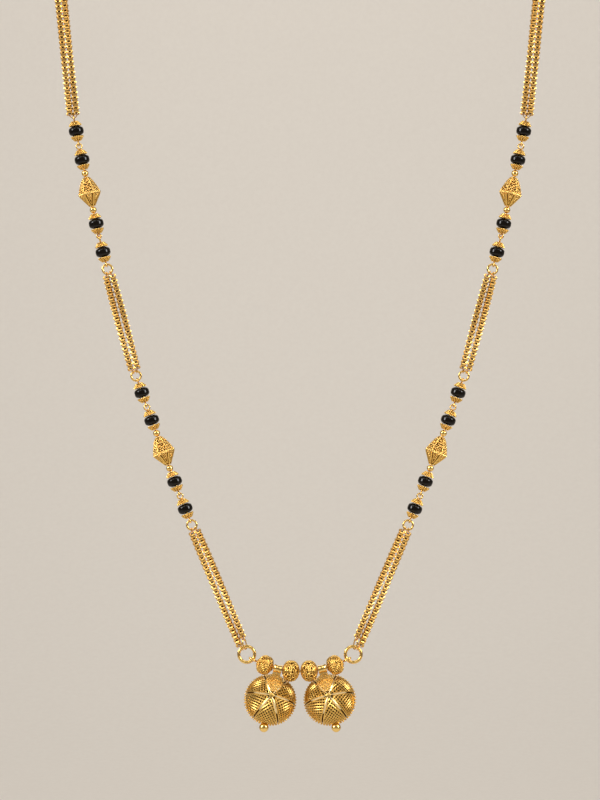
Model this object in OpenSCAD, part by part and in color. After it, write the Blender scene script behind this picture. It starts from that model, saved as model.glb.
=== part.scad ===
// Mangalsutra: paired box chains, groups of black beads in gold caps, and two gold cups on a bowed wire.
// Millimetres, +Z up, the front faces -Y. The origin is the hook at the nape of the neck.

/* [Loop] */
// How far the hanging front lies in front of the nape
loop_depth = 110; // [100:1:120]
// Drop from the nape to the top eyes of the upper bead groups
front_drop = 86.3; // [80:0.1:92]

/* [Chains] */
// Outer width of one strand of box chain
strand_d = 1.4; // [1.2:0.05:1.6]
// Clear space between the two strands of a pair where they end
strand_gap = 0.1; // [0.1:0.05:0.3]
// Extra space between the two strands half way along
strand_bow = 0.2; // [0:0.05:0.4]
// Ring centre to ring centre of the chain above the pendant
lower_chain_l = 32.3; // [28:0.1:36]
// Ring centre to ring centre of the chain between the bead groups
middle_chain_l = 25.4; // [23:0.1:30]

/* [Rings] */
// Outer width of a group ring
ring_od = 2.7; // [2.6:0.05:3.2]
// Wire of a group ring
ring_wire = 0.5; // [0.4:0.05:0.55]
// Outer width of a pendant ring
pendant_ring_od = 4.4; // [4.2:0.1:5]
// Wire of a pendant ring
pendant_ring_wire = 0.75; // [0.6:0.05:0.8]
// Wire of the oval joining link in a pendant ring
joining_wire = 0.3; // [0.25:0.05:0.35]
// Length of the oval joining link
joining_l = 2.7; // [2.4:0.1:3]
// Turn of the joining link away from edge-on
joining_turn = 30; // [15:5:40]

/* [Eye pins] */
// Straight wire of an eye pin
pin_d = 0.32; // [0.28:0.02:0.36]
// Wire of the eyes, slightly swollen where it is bent
eye_wire = 0.36; // [0.34:0.02:0.4]
// Inner width of the large eye at the top of a pin
large_eye_bore = 0.88; // [0.8:0.02:1]
// Inner width of the small eye at the bottom of a pin
small_eye_bore = 0.6; // [0.6:0.02:0.7]

/* [Black beads] */
// Width of a black bead
black_bead_d = 3.45; // [3.2:0.05:3.8]
// Length of a black bead along its pin
black_bead_l = 2.2; // [2:0.1:2.6]
// Roundness of a black bead, where 2 is an ellipse
black_bead_round = 2.9; // [2.2:0.1:4]

/* [Caps and balls] */
// Width of a cap's scalloped edge
cap_d = 2.8; // [2.6:0.05:3]
// Width of a cap's tip
cap_tip_d = 1.05; // [0.9:0.05:1.2]
// Height of a cap
cap_l = 1.15; // [1:0.05:1.4]
// Width of a polished small ball
ball_d = 1.6; // [1.4:0.05:1.8]

/* [Filigree bicones] */
// Width of a bicone over the corners of its girdle
bicone_d = 5.1; // [4.6:0.1:5.6]
// Length of a bicone
bicone_l = 6.9; // [6.4:0.1:7.6]
// Width of a bicone's tips
bicone_tip_d = 1.2; // [1:0.1:1.5]
// Width of the seam round the girdle
girdle_w = 0.5; // [0.4:0.05:0.7]
// How far the girdle lies below a bicone's middle
girdle_low = 0.45; // [0:0.05:0.6]

/* [Pendant wire] */
// Radius of the wire's bow
bow_r = 22.5; // [20:0.5:26]
// Thickness of the pendant wire
pendant_wire = 0.5; // [0.4:0.05:0.55]
// Width of a round outer bead
outer_bead_d = 4.75; // [4.4:0.05:5]
// Length of a round outer bead along the wire
outer_bead_l = 4; // [3.8:0.05:4.8]
// Width of a flattened inner bead
inner_bead_d = 5; // [4.6:0.05:5.2]

/* [Cups] */
// Width of the dome
cup_d = 11.8; // [11:0.1:12.6]
// Thickness of the dome's gold sheet
cup_wall = 0.45; // [0.35:0.05:0.6]
// Thickness of the rope round the rim
rim_rope = 0.44; // [0.36:0.02:0.5]
// Clear space between the two cups
cup_gap = 1.5; // [1.2:0.1:2]
// How far the dome's pole looks up
cup_tip_up = 17; // [10:1:20]
// How far the bail stands in front of the rim's centre, which balances the cup
bail_forward = 2.58; // [2.3:0.02:2.9]
// How far the inner beads reach down past the dome's top
bead_tuck = 0.8; // [0.5:0.1:0.9]
// Thickness of the neck plate between bail and dome
neck_t = 1; // [0.8:0.1:1.2]
// Height over which the neck spreads to its foot
neck_flare = 0.7; // [0.5:0.05:0.9]
// Outer width of the bail's tube
bail_d = 2.05; // [1.9:0.05:2.3]
// Length of the bail's tube
bail_l = 1.9; // [1.6:0.05:2.1]
// Width of the polished ball at the foot of the cup
end_ball_d = 2.2; // [1.8:0.1:2.5]
// Height of the shield plate above the dome
shield_h = 0.28; // [0.2:0.01:0.4]
// Half width of the shield plate at its ears
shield_half_w = 2.15; // [1.8:0.05:2.4]
// Thickness of a bright-cut leaf
leaf_w = 0.5; // [0.4:0.05:0.6]
// Width of the narrow grooves between the fields of the dome
groove_w = 0.3; // [0.2:0.05:0.4]
// Width of the dimples in the fields
dimple_d = 0.5; // [0.35:0.05:0.6]
// Depth of the grooves and dimples
groove_depth = 0.22; // [0.15:0.01:0.25]

/* [Clasp] */
// Wire of the plain hook at the nape
hook_wire = 0.8; // [0.7:0.05:0.9]
// Inner width of each half of the hook
hook_bore = 1.8; // [1.8:0.1:2.4]
// Wire of the end rings
end_ring_wire = 0.6; // [0.5:0.05:0.65]
// Outer width of the end rings
end_ring_od = 4.1; // [4:0.1:4.8]

/* [Clearances] */
// Space between pieces that follow each other on a pin or wire
seat_gap = 0.05; // [0.04:0.01:0.08]
// Space between loose pieces that hook into each other
loose_gap = 0.12; // [0.1:0.01:0.16]
// Space round a pin or wire in a drilled hole
bore_gap = 0.1; // [0.08:0.01:0.14]
// Space round the pendant ring in the eye of the pendant wire
eye_gap = 0.15; // [0.12:0.01:0.2]

/* [Hidden] */
$fn = 48;
GOLD = "gold";
DARK_GOLD = "goldenrod";
BLACK = "black";

// Wire centre lines of the rings and eyes
ring_r = (ring_od - ring_wire) / 2;
pendant_ring_r = (pendant_ring_od - pendant_ring_wire) / 2;
large_eye_r = (large_eye_bore + eye_wire) / 2;
small_eye_r = (small_eye_bore + eye_wire) / 2;
pin_stem = 0.02;

// Two hooked eyes between two caps, from cap tip to cap tip
hooked_l = 2 * (large_eye_r + small_eye_r + pin_stem) - loose_gap;
eye_to_tip = eye_wire / 2 + pin_stem;

// From a ring's centre to the tip of the cap beside it: the eye goes round the ring's wire
ring_to_tip = ring_r + small_eye_r + eye_to_tip;
capped_bead_l = 2 * cap_l + black_bead_l + 2 * seat_gap;
ring_pin_l = ring_to_tip + capped_bead_l + hooked_l / 2;
top_pin_l = hooked_l / 2 + capped_bead_l + eye_to_tip + small_eye_r;
long_middle_l = 2 * ball_d + bicone_l + 2 * seat_gap + 2 * loose_gap;
long_pin_l = hooked_l + 2 * capped_bead_l + long_middle_l;

// The cups' places on the wire follow from their own width
cup_drop = cup_d / 2 + inner_bead_d / 2 - bead_tuck;
cup_out = cup_d / 2 + rim_rope / 2 + cup_gap / 2;
bail_s = bow_r * asin(cup_out / (bow_r + cup_drop)) * PI / 180;
wire_eye_r = (pendant_ring_wire + pendant_wire) / 2 + eye_gap;
wire_bore = pendant_wire + 2 * bore_gap;
// A straight hole through a long bead also clears the wire's bow
bead_bore = wire_bore + outer_bead_l * outer_bead_l / (4 * bow_r);
// Flat ends on a bowed wire also need room for the angle between them
bow_gap = seat_gap + bead_bore / 2 * (bail_l + outer_bead_l) / 2 / bow_r;
inner_bead_l = bail_s - bail_l / 2 - 2 * bow_gap;
inner_bead_s = bow_gap + inner_bead_l / 2;
outer_bead_s = bail_s + bail_l / 2 + bow_gap + outer_bead_l / 2;
wire_end_s = outer_bead_s + outer_bead_l / 2 + seat_gap;
pin_bore = pin_d + 2 * bore_gap;

// Lean of each stretch away from straight up, from the pendant ring to the top of the upper group
LEAN = [23, 22, 20.5, 19, 15, 14.5, 12.5, 10.5];
STRETCH = [
    lower_chain_l, ring_pin_l, long_pin_l, ring_pin_l,
    middle_chain_l, ring_pin_l, long_pin_l, top_pin_l
];
// Angle from the wire's eye up to the pendant ring's centre
ring_lean = 40;
hang_h = sum([for (i = [0 : len(LEAN) - 1]) STRETCH[i] * cos(LEAN[i])]);
wire_end_a = wire_end_s / bow_r * 180 / PI;
wire_eye_out = wire_eye_r + pendant_wire / 2;
eye_place = [
    bow_r * sin(wire_end_a) + wire_eye_out * cos(wire_end_a),
    bow_r * (1 - cos(wire_end_a)) + wire_eye_out * sin(wire_end_a)
];
ring_place = eye_place + pendant_ring_r * [cos(ring_lean), sin(ring_lean)];
bow_z = -front_drop - hang_h - ring_place[1];

// The back chain from the top of the upper group to the end ring, hand-chosen.
// Columns: outwards as a share of the group's top, forwards as a share of loop_depth,
// and down as a share of front_drop.
BACK_ROUTE = [
    [1.03, 1.00, 0.84],
    [1.06, 1.00, 0.67],
    [1.10, 0.98, 0.52],
    [1.13, 0.94, 0.38],
    [1.17, 0.87, 0.26],
    [1.19, 0.77, 0.15],
    [1.17, 0.63, 0.06],
    [1.11, 0.49, 0.01],
    [1.00, 0.35, -0.01],
    [0.83, 0.22, -0.01],
    [0.60, 0.11, -0.01],
    [0.33, 0.03, 0.00]
];
strand_sides = 8;
strand_pitch = strand_d + strand_gap;

// The joining link starts inside the pendant ring, and the inner strand ends at its other end
link_low = pendant_ring_od / 2 - pendant_ring_wire - bore_gap - joining_wire;
link_top = link_low + joining_l;
link_lean = asin(strand_pitch / 2 / link_top);

hook_r = (hook_bore + hook_wire) / 2;
end_ring_r = (end_ring_od - end_ring_wire) / 2;
end_ring_x = 2 * hook_r - hook_wire / 2 - end_ring_wire / 2 - loose_gap + end_ring_r;
hook_turn = 290;

// Places and spans on the dome, as angles from its pole
dome_r = cup_d / 2;
leaf_from = 8;
leaf_span = 36;
// Space between a leaf's tip and its groove
leaf_gap = 4;
groove_from = leaf_from + leaf_span + leaf_gap;
groove_span = 27;
side_groove_from = 60;
side_groove_span = 15;
// The shield plate's sides run under the two leaves beside it
leaf_step = 60;
shield_low = 0.16 * dome_r;
shield_side = 0.2 * leaf_w;
SHIELD = [
    [shield_low / tan(leaf_step) + shield_side, shield_low],
    [shield_half_w, (shield_half_w - shield_side) * tan(leaf_step)],
    [0.55 * shield_half_w, 0.76 * dome_r]
];
// Rows of dimples in one sixth of the dome: angle from the pole, dimples in the row
DIMPLE_ROWS = [[27, 1], [40, 2], [53, 3], [67, 4]];
dimple_turn = 13;
// Outline of a cap from its edge to its shoulder, as shares of half its width and of its height
CAP_EDGE = [[0.93, 0], [1, 0.09], [0.94, 0.27], [0.45, 0.87]];
end_ball_out = dome_r + rim_rope / 2 + end_ball_d * 0.22;

function sum(v) = v * [for (x = v) 1];
function unit(v) = v / norm(v);
function lean_dir(a) = [sin(a), 0, cos(a)];

// Joint i on the right side, from the pendant ring's centre up
function joint(i) =
    i == 0
        ? [ring_place[0], -loop_depth, bow_z + ring_place[1]]
        : joint(i - 1) + STRETCH[i - 1] * lean_dir(LEAN[i - 1]);

// One quarter of a rounded bead's outline, from its equator to its end, drilled to radius bore
function bead_edge(r, h, n, steps) = [
    for (i = [0 : steps]) let(a = 90 * i / steps)
        [r * pow(cos(a), 2 / n), h * pow(sin(a), 2 / n)]
];

// Drilled bead of revolution on the Z axis
module bead(d, l, bore, n, steps = 8) {
    half = [for (p = bead_edge(d / 2, l / 2, n, steps)) if (p[0] > bore / 2 + 0.01) p];
    rotate_extrude()
        polygon(concat(
            [[bore / 2, -l / 2]],
            [for (i = [len(half) - 1 : -1 : 1]) [half[i][0], -half[i][1]]],
            half,
            [[bore / 2, l / 2]]
        ));
}

// Ring of wire in the XZ plane, turned about Z
module wire_ring(r, wire, turn = 0) {
    rotate([90, 0, turn])
        rotate_extrude()
            translate([r, 0]) circle(d = wire);
}

// One closed tube along points p, with a side vector for each ring
module tube(p, side, d) {
    n = strand_sides;
    last = len(p) - 1;
    rings = [
        for (i = [0 : last])
            let(
                t = unit(p[min(i + 1, last)] - p[max(i - 1, 0)]),
                u = unit(side[i] - (side[i] * t) * t),
                v = cross(t, u)
            )
            for (k = [0 : n - 1])
                p[i] + d / 2 * (cos(360 * (k + 0.5) / n) * u + sin(360 * (k + 0.5) / n) * v)
    ];
    walls = [
        for (i = [0 : last - 1], k = [0 : n - 1])
            let(a = i * n + k, b = i * n + (k + 1) % n)
            each [[a, a + n, b], [b, a + n, b + n]]
    ];
    polyhedron(
        rings,
        concat(walls, [[for (k = [0 : n - 1]) k], [for (k = [n - 1 : -1 : 0]) last * n + k]])
    );
}

// Put a right-hand piece on its own side of the necklace
module on_side(side) {
    if (side == "left") mirror([1, 0, 0]) children();
    else children();
}

// Local frame at joint i, with Z along the stretch above it
module at_joint(i) {
    translate(joint(i)) rotate([0, LEAN[i], 0]) children();
}

// Local frame on the pendant wire, with X along the wire and Z away from its inside
module on_wire(s) {
    a = s / bow_r * 180 / PI;
    translate([bow_r * sin(a), -loop_depth, bow_z + bow_r * (1 - cos(a))])
        rotate([0, -a, 0]) children();
}

// Straight pair member between joints i and i + 1, bowed outwards a little half way
module straight_strand(i, from, to, out) {
    across = [cos(LEAN[i]), 0, -sin(LEAN[i])];
    ends = strand_pitch / 2;
    mid = ends + strand_bow / 2;
    start = joint(i) + from * lean_dir(LEAN[i]);
    stop = joint(i + 1) - to * lean_dir(LEAN[i]);
    tube(
        [
            start + out * ends * across,
            (start + stop) / 2 + out * mid * across,
            stop + out * ends * across
        ],
        [across, across, across],
        strand_d
    );
}

// Back strand from the top eye round the neck to the end ring
module back_strand(out) {
    top = joint(8);
    first = top + (small_eye_r + eye_wire / 2 + seat_gap) * lean_dir(LEAN[7]);
    centre = concat(
        [first],
        [for (s = BACK_ROUTE) [s[0] * top[0], -s[1] * loop_depth, -s[2] * front_drop]],
        [[end_ring_x + end_ring_od / 2 + loose_gap, 0, 0]]
    );
    // The pair lies across the chest in front and one above the other at the nape
    side = [for (c = centre) let(f = -c[1] / loop_depth) unit([f * f, 0, f * f - 1])];
    last = len(centre) - 1;
    offset = [
        for (i = [0 : last])
            let(t = unit(centre[min(i + 1, last)] - centre[max(i - 1, 0)]))
            unit(side[i] - (side[i] * t) * t)
    ];
    tube([for (i = [0 : last]) centre[i] + out * strand_pitch / 2 * offset[i]], side, strand_d);
}

// Eye pin along Z from the centre of its bottom eye to the centre of its top eye
module eye_pin(l, bottom_r, bottom_turn, top_r, top_turn) {
    wire_ring(bottom_r, eye_wire, bottom_turn);
    translate([0, 0, l]) wire_ring(top_r, eye_wire, top_turn);
    translate([0, 0, bottom_r]) cylinder(d = pin_d, h = l - bottom_r - top_r);
}

module cap() {
    rotate_extrude()
        polygon(concat(
            [[pin_bore / 2, 0]],
            [for (p = CAP_EDGE) [p[0] * cap_d / 2, p[1] * cap_l]],
            [[cap_tip_d / 2, cap_l], [pin_bore / 2, cap_l]]
        ));
}

// Cap that stands on the wide end of a bead, and cap that hangs under one
module cap_up(z) { translate([0, 0, z]) cap(); }
module cap_down(z) { translate([0, 0, z]) mirror([0, 0, 1]) cap(); }

// Heights along a pin of what is threaded on it: the first cap's tip is at tip
function bead_z(tip) = tip + cap_l + seat_gap + black_bead_l / 2;
module capped_bead_caps(tip) {
    cap_down(tip + cap_l);
    cap_up(tip + cap_l + black_bead_l + 2 * seat_gap);
}

// Tips, along their own stretch, of the capped beads of a group: stretch, height of the lower cap's tip
function group_tips(j) = [
    [j, ring_to_tip],
    [j + 1, hooked_l / 2],
    [j + 1, hooked_l / 2 + capped_bead_l + long_middle_l],
    [j + 2, hooked_l / 2]
];
// Height of the bicone's and the small balls' middles along the long pin
bicone_z = long_pin_l / 2;
ball_up = bicone_l / 2 + seat_gap + ball_d / 2;

module group_caps(j) {
    for (t = group_tips(j)) at_joint(t[0]) capped_bead_caps(t[1]);
}

module group_balls(j) {
    for (s = [-1, 1]) at_joint(j + 1) translate([0, 0, bicone_z + s * ball_up])
        bead(ball_d, ball_d, pin_bore, 2);
}

module black_bead(j, k) {
    t = group_tips(j)[k - 1];
    color(BLACK) at_joint(t[0]) translate([0, 0, bead_z(t[1])])
        bead(black_bead_d, black_bead_l, pin_bore, black_bead_round, 10);
}

// Three pins of a group. The junction above the low pin may be turned to show its eyes edge-on.
module group_pins(j, low_turn, top_at_ring) {
    large_z = hooked_l / 2 - eye_to_tip - large_eye_r;
    small_z = hooked_l / 2 - eye_to_tip - small_eye_r;
    color(GOLD) {
        at_joint(j) translate([0, 0, ring_r])
            eye_pin(ring_pin_l - ring_r - large_z, small_eye_r, 90, large_eye_r, low_turn);
        at_joint(j + 1) translate([0, 0, small_z])
            eye_pin(long_pin_l - small_z - large_z, small_eye_r, low_turn + 90, large_eye_r, 0);
        at_joint(j + 2) translate([0, 0, small_z])
            eye_pin(
                STRETCH[j + 2] - small_z - (top_at_ring ? ring_r : 0),
                small_eye_r, 90, small_eye_r, 90
            );
    }
}

module bicone(j) {
    // The upper half swells, and the lower one is straight
    outline = [
        [bicone_tip_d / 2, -bicone_l / 2],
        [(bicone_d - girdle_w / 2) / 2, -girdle_low - girdle_w / 2],
        [bicone_d / 2, -girdle_low],
        [(bicone_d - girdle_w / 2) / 2, -girdle_low + girdle_w / 2],
        [bicone_d * 0.4, bicone_l * 0.16],
        [bicone_d * 0.27, bicone_l * 0.36],
        [bicone_tip_d / 2, bicone_l / 2]
    ];
    color(DARK_GOLD) at_joint(j + 1) translate([0, 0, bicone_z])
        difference() {
            rotate_extrude($fn = 6)
                polygon(concat([[0, -bicone_l / 2]], outline, [[0, bicone_l / 2]]));
            translate([0, 0, -bicone_l]) cylinder(d = pin_bore, h = 2 * bicone_l);
        }
}

module group_ring(j) {
    color(GOLD) translate(joint(j)) wire_ring(ring_r, ring_wire);
}

module pendant_ring() {
    color(GOLD) translate(joint(0)) wire_ring(pendant_ring_r, pendant_ring_wire);
}

// Oval link that goes round the pendant ring's wire and ends at the inner strand
module joining_link() {
    link_in_w = pendant_ring_wire / cos(joining_turn) + 2 * bore_gap;
    half_w = (link_in_w + joining_wire) / 2;
    half_l = (joining_l - joining_wire) / 2;
    color(GOLD) at_joint(0) rotate([0, -link_lean, 0]) translate([0, 0, (link_low + link_top) / 2])
        rotate([90, 0, 90 - joining_turn])
            for (s = [-1, 1]) {
                translate([s * half_w, 0, 0])
                    rotate([90, 0, 0])
                        cylinder(
                            d = joining_wire + pin_stem,
                            h = 2 * (half_l - half_w + pin_stem),
                            center = true
                        );
                translate([0, s * (half_l - half_w), 0])
                    rotate([0, 0, s > 0 ? 0 : 180])
                        rotate_extrude(angle = 180) translate([half_w, 0]) circle(d = joining_wire);
            }
}

module pendant_wire_piece() {
    color(GOLD) {
        translate([0, -loop_depth, bow_z + bow_r])
            rotate([90, 0, 0])
                rotate([0, 0, -90 - wire_end_a])
                    rotate_extrude(angle = 2 * wire_end_a, $fn = 200)
                        translate([bow_r, 0]) circle(d = pendant_wire);
        for (side = ["left", "right"]) on_side(side) on_wire(wire_end_s) wire_eye();
    }
}

// Eye at the wire's end, edge-on to the front, round the pendant ring
module wire_eye() {
    translate([wire_eye_out, 0, 0])
        rotate([90, 0, 0]) rotate([90, 0, 0])
            rotate_extrude() translate([wire_eye_r, 0]) circle(d = pendant_wire + 0.02);
}

module pendant_bead(s, d, l, n) {
    color(DARK_GOLD) on_wire(s) rotate([0, 90, 0]) bead(d, l, bead_bore, n, 10);
}

// A direction on the dome: turn about its pole, then angle away from the pole
module on_dome(turn, from_pole) {
    rotate([0, -turn, 0]) rotate([0, 0, from_pole - 90]) children();
}

module shield_plate() {
    intersection() {
        difference() {
            sphere(r = dome_r + shield_h);
            sphere(r = dome_r - cup_wall / 2);
        }
        rotate([90, 0, 0])
            linear_extrude(height = cup_d)
                polygon(concat(SHIELD, [for (i = [len(SHIELD) - 1 : -1 : 0]) [-SHIELD[i][0], SHIELD[i][1]]]));
    }
}

module dome_shell() {
    difference() {
        sphere(r = dome_r);
        translate([0, cup_d, 0]) cube(2 * cup_d, center = true);
    }
    rotate([90, 0, 0]) rotate_extrude() translate([dome_r, 0]) circle(d = rim_rope);
    shield_plate();
    for (turn = [0 : leaf_step : 359]) on_dome(turn, leaf_from)
        rotate_extrude(angle = leaf_span) translate([dome_r - leaf_w * 0.06, 0]) circle(d = leaf_w);
    translate([0, 0, -end_ball_out]) sphere(d = end_ball_d);
}

module dome_carving() {
    for (turn = [0 : leaf_step : 359])
        let(beside = turn == leaf_step || turn == 2 * leaf_step)
        on_dome(turn, beside ? side_groove_from : groove_from)
            rotate_extrude(angle = beside ? side_groove_span : groove_span)
                translate([dome_r, 0]) square([2 * groove_depth, groove_w], center = true);
    for (sector = [30, 150, 210, 270, 330], row = DIMPLE_ROWS, k = [0 : row[1] - 1])
        on_dome(sector + (k - (row[1] - 1) / 2) * dimple_turn, row[0])
            translate([dome_r - groove_depth, 0, 0])
                rotate([0, 90, 0]) cylinder(d = dimple_d, h = 2 * groove_depth);
}

// The whole cup hangs from the wire, its bail at the local origin
module cup(side) {
    neck_low = cup_drop - sqrt(dome_r * dome_r - bail_forward * bail_forward);
    neck_half = bail_l / 2 - seat_gap;
    foot_half = shield_half_w * 0.85;
    color(GOLD) on_wire(side == "left" ? -bail_s : bail_s)
        difference() {
            union() {
                translate([0, bail_forward, -cup_drop]) rotate([-cup_tip_up, 0, 0]) dome_shell();
                rotate([0, 90, 0]) cylinder(d = bail_d, h = bail_l, center = true);
                translate([0, neck_t / 2, 0]) rotate([90, 0, 0])
                    linear_extrude(height = neck_t)
                        polygon([
                            [-neck_half, -bail_d / 4], [-neck_half, neck_flare - neck_low],
                            [-foot_half, -neck_low], [-foot_half, -neck_low - neck_t / 2],
                            [foot_half, -neck_low - neck_t / 2], [foot_half, -neck_low],
                            [neck_half, neck_flare - neck_low], [neck_half, -bail_d / 4]
                        ]);
            }
            rotate([0, 90, 0]) cylinder(d = wire_bore, h = 2 * bail_l, center = true);
            translate([0, bail_forward, -cup_drop]) rotate([-cup_tip_up, 0, 0]) {
                sphere(r = dome_r - cup_wall);
                dome_carving();
            }
        }
}

// Plain hook: two open loops joined at the origin
module nape_hook() {
    color(GOLD)
        for (turn = [0, 180]) rotate([0, turn, 0])
            translate([hook_r, 0, 0]) rotate([90, 0, 0]) rotate([0, 0, 180])
                rotate_extrude(angle = hook_turn) translate([hook_r, 0]) circle(d = hook_wire);
}

module end_ring() {
    color(GOLD) translate([end_ring_x, 0, 0])
        rotate_extrude() translate([end_ring_r, 0]) circle(d = end_ring_wire);
}

module lower_chain(out) {
    from = out > 0 ? pendant_ring_od / 2 : link_top;
    color(GOLD) straight_strand(0, from + seat_gap, ring_od / 2 + seat_gap, out);
}

module middle_chain(out) {
    color(GOLD) straight_strand(4, ring_od / 2 + seat_gap, ring_od / 2 + seat_gap, out);
}

for (side = ["left", "right"]) {
    cup(side);
    on_side(side) pendant_bead(outer_bead_s, outer_bead_d, outer_bead_l, 2.1);
    on_side(side) pendant_bead(inner_bead_s, inner_bead_d, inner_bead_l, 2.2);
    on_side(side) pendant_ring();
    on_side(side) joining_link();
    on_side(side) end_ring();
    for (strand = [["outer", 1], ["inner", -1]]) {
        on_side(side) lower_chain(strand[1]);
        on_side(side) middle_chain(strand[1]);
        on_side(side) color(GOLD) back_strand(strand[1]);
    }
    for (ring = [["low", 1], ["mid", 4], ["high", 5]])
        on_side(side) group_ring(ring[1]);
    for (group = [["lower", 1], ["upper", 5]]) {
        on_side(side) bicone(group[1]);
        for (k = [1 : 4])
            on_side(side) black_bead(group[1], k);
    }
    on_side(side) group_pins(1, 0, true);
    on_side(side) group_pins(5, 90, false);
    on_side(side) color(DARK_GOLD) for (j = [1, 5]) group_caps(j);
    on_side(side) color(GOLD) for (j = [1, 5]) group_balls(j);
}
pendant_wire_piece();  // pendant_wire
nape_hook();
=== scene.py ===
"""Mangalsutra: paired box chains, black glass beads in gold caps, and two gold cups on a bowed wire.

The pieces follow each other as the necklace is put together. Lengths are in millimetres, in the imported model's
frame, until a mesh is made. Pieces are worked out for the right side, and the left ones are mirror images of them,
apart from the cups, which are one shape set in two places.
"""
import bpy
import numpy as np
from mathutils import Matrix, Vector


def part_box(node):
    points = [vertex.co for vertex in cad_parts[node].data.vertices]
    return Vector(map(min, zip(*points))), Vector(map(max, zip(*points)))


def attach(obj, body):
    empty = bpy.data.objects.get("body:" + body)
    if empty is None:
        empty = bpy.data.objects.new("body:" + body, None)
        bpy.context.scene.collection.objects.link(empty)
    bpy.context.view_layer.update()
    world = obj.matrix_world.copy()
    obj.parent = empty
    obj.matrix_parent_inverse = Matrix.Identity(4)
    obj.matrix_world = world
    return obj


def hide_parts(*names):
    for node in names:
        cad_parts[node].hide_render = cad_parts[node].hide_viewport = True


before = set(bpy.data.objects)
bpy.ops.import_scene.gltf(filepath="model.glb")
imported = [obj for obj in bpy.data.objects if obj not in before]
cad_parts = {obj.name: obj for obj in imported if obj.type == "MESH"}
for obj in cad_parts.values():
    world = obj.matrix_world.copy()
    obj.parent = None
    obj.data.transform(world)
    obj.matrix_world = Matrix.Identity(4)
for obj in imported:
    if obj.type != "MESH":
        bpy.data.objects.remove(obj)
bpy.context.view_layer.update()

# The hook and the two end rings at the nape
# Plain round wire of 22 carat gold, bent and soldered, then polished in a tumbler. The hook is one S of thick wire
# that catches a closed ring on each side.


def linear(hex_colour):
    """Linear colour of an sRGB hex colour: c / 12.92 up to 0.04045, else ((c + 0.055) / 1.055) to the power 2.4."""
    c = np.array([int(hex_colour[i:i + 2], 16) for i in (1, 3, 5)]) / 255
    return (*np.where(c <= 0.04045, c / 12.92, ((c + 0.055) / 1.055) ** 2.4), 1.0)


def add_node(tree, kind, values, links=()):
    """One shader node: values go to its properties or unlinked sockets, links are (socket, source) pairs."""
    node = tree.nodes.new(kind)
    for name, value in values.items():
        if isinstance(name, str) and hasattr(node, name):
            setattr(node, name, value)
        else:
            node.inputs[name].default_value = value
    for socket, source in links:
        tree.links.new(source, node.inputs[socket])
    return node


def mottled(name, scale, detail, clean, worn):
    """Material whose colour drifts between two with a noise of that many waves a metre: (material, surface, noise)."""
    material = bpy.data.materials.new(name)
    material.use_nodes = True
    tree = material.node_tree
    surface = tree.nodes["Principled BSDF"]
    place = add_node(tree, "ShaderNodeTexCoord", {}).outputs["Object"]
    drift = add_node(tree, "ShaderNodeTexNoise", {"Scale": scale, "Detail": detail}, [("Vector", place)])
    colour = add_node(
        tree, "ShaderNodeMix", {"data_type": "RGBA", 6: linear(clean), 7: linear(worn)}, [(0, drift.outputs["Fac"])]
    )
    tree.links.new(colour.outputs[2], surface.inputs["Base Color"])
    return material, surface, drift


def rub(surface, marks, low, high):
    """Roughness of a surface from low to high, as the noise of its marks goes from 0.3 to 0.7."""
    tree = surface.id_data
    rough = add_node(
        tree, "ShaderNodeMapRange", {"From Min": 0.3, "From Max": 0.7, "To Min": low, "To Max": high},
        [("Value", marks.outputs["Fac"])],
    )
    tree.links.new(rough.outputs["Result"], surface.inputs["Roughness"])


def gold_finish(name, clean, worn, roughness, grain, relief):
    """Gold whose colour and roughness drift between two values, with a fine relief of height relief in mm.

    grain is the width in mm of the small marks. The colour drifts five times as slowly as the marks.
    """
    material, surface, drift = mottled(name, 200 / grain, 2.0, clean, worn)
    tree = material.node_tree
    place = add_node(tree, "ShaderNodeTexCoord", {}).outputs["Object"]
    marks = add_node(tree, "ShaderNodeTexNoise", {"Scale": 1000 / grain, "Detail": 3.0}, [("Vector", place)])
    rub(surface, marks, *roughness)
    bump = add_node(
        tree, "ShaderNodeBump", {"Strength": 1.0, "Distance": relief / 1000}, [("Height", marks.outputs["Fac"])]
    )
    surface.inputs["Metallic"].default_value = 1.0
    tree.links.new(bump.outputs["Normal"], surface.inputs["Normal"])
    return material


# Drawn and tumbled wire: nearly a mirror, with faint rub marks 0.4 mm wide
tumbled_wire = gold_finish("22k_gold_tumbled_wire", "#FFD985", "#F2C068", (0.12, 0.24), 0.4, 0.004)


def xyz(x, y, z):
    """Points whose coordinates are numbers or arrays, spread to one common grid."""
    return np.stack(np.broadcast_arrays(x, y, z), -1)


def direction(v):
    """Vectors v divided by their length along the last axis."""
    return v / np.linalg.norm(v, axis=-1, keepdims=True)


def square_to(tangent, v):
    """Direction of v less its share along the unit tangent."""
    return direction(v - np.sum(v * tangent, -1, keepdims=True) * tangent)


def carry(paths, up, section, closed=False):
    """Profile carried along each of m paths of n points: (points, faces) of one closed shape.

    Point (m, n, k) = path point + section x * side + section y * over. Over is up made square to the path's
    tangent, and side is tangent x over. The section is (k, 2), or one for each path point, counterclockwise.
    """
    paths = np.asarray(paths, float)
    if closed:
        tangent = direction(np.roll(paths, -1, 1) - np.roll(paths, 1, 1))
    else:
        tangent = direction(np.gradient(paths, axis=1))
    over = square_to(tangent, np.broadcast_to(up, paths.shape))
    side = np.cross(tangent, over)
    section = np.broadcast_to(section, paths.shape[:2] + np.shape(section)[-2:])
    points = paths[:, :, None] + section[..., :1] * side[:, :, None] + section[..., 1:] * over[:, :, None]
    index = np.arange(points[..., 0].size).reshape(points.shape[:3])
    near, far = (index, np.roll(index, -1, 1)) if closed else (index[:, :-1], index[:, 1:])
    quads = np.stack([near, far, np.roll(far, -1, 2), np.roll(near, -1, 2)], -1).reshape(-1, 4)
    ends = [] if closed else [index[:, 0], index[:, -1, ::-1]]
    return points.reshape(-1, 3), [quads, *ends]


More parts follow.
